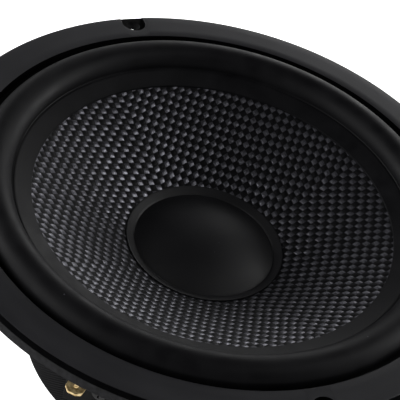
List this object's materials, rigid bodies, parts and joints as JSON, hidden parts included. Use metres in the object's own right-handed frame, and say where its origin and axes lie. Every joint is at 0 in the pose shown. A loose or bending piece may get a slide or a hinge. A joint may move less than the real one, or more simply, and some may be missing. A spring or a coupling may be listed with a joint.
{
  "type": "loudspeaker driver",
  "caption": "Round car-door loudspeaker driver with a woven cone, rubber surround, domed dust cap, cast basket, ferrite magnet, sprung moving coil and push-on tabs.",
  "frame": {"origin": "centre of the screw circle on the rear face of the mounting flange, on the axis of the cone", "axes": "+Z along the axis, the way the sound goes; the terminals are on the -Y side"},
  "size_m": [0.1672, 0.1672, 0.0674],
  "materials": {
    "cast_basket": "black textured powder coat",
    "trim_plastic": "satin black",
    "foam": "matt closed-cell foam",
    "woven_cone": "glossy resin over plain weave",
    "surround_rubber": "satin",
    "cap_plastic": "satin",
    "former_foil": "satin",
    "copper_wire": "enamelled wire",
    "solder": "bright",
    "spider_cloth": "resin-stiffened cloth",
    "zinc_steel": "zinc plated",
    "ferrite": "matt sintered",
    "mesh_steel": "woven wire",
    "boot_rubber": "matt",
    "black_steel": "black oxide",
    "fibre_board": "matt",
    "gold_plate": "gold plated",
    "lead_braid": "tinsel braid"
  },
  "bodies": {
    "frame": {"basket": "cast_basket", "trim_ring": "trim_plastic", "mounting_gasket": "foam", "top_plate": "zinc_steel", "magnet": "ferrite", "yoke": "zinc_steel", "shorting_ring": "copper_wire", "vent_mesh": "mesh_steel", "magnet_boot": "boot_rubber", "plate_screws": "black_steel", "terminal_board": "fibre_board", "positive_tab": "gold_plate", "negative_tab": "gold_plate", "tab_rivets": "gold_plate", "board_screws": "black_steel", "positive_lead": "lead_braid", "negative_lead": "lead_braid"},
    "diaphragm": {"cone": "woven_cone", "surround": "surround_rubber", "dust_cap": "cap_plastic", "coil_former": "former_foil", "coil_winding": "copper_wire", "coil_lead_joints": "solder", "spider": "spider_cloth"}
  },
  "joints": [
    {"name": "cone_excursion", "type": "slide", "parent": "frame", "child": "diaphragm", "axis": [0, 0, 1], "range_m": [-0.005, 0.005], "stiffness_N_per_m": 1800, "deforming": ["surround", "spider", "positive_lead", "negative_lead"]}
  ]
}
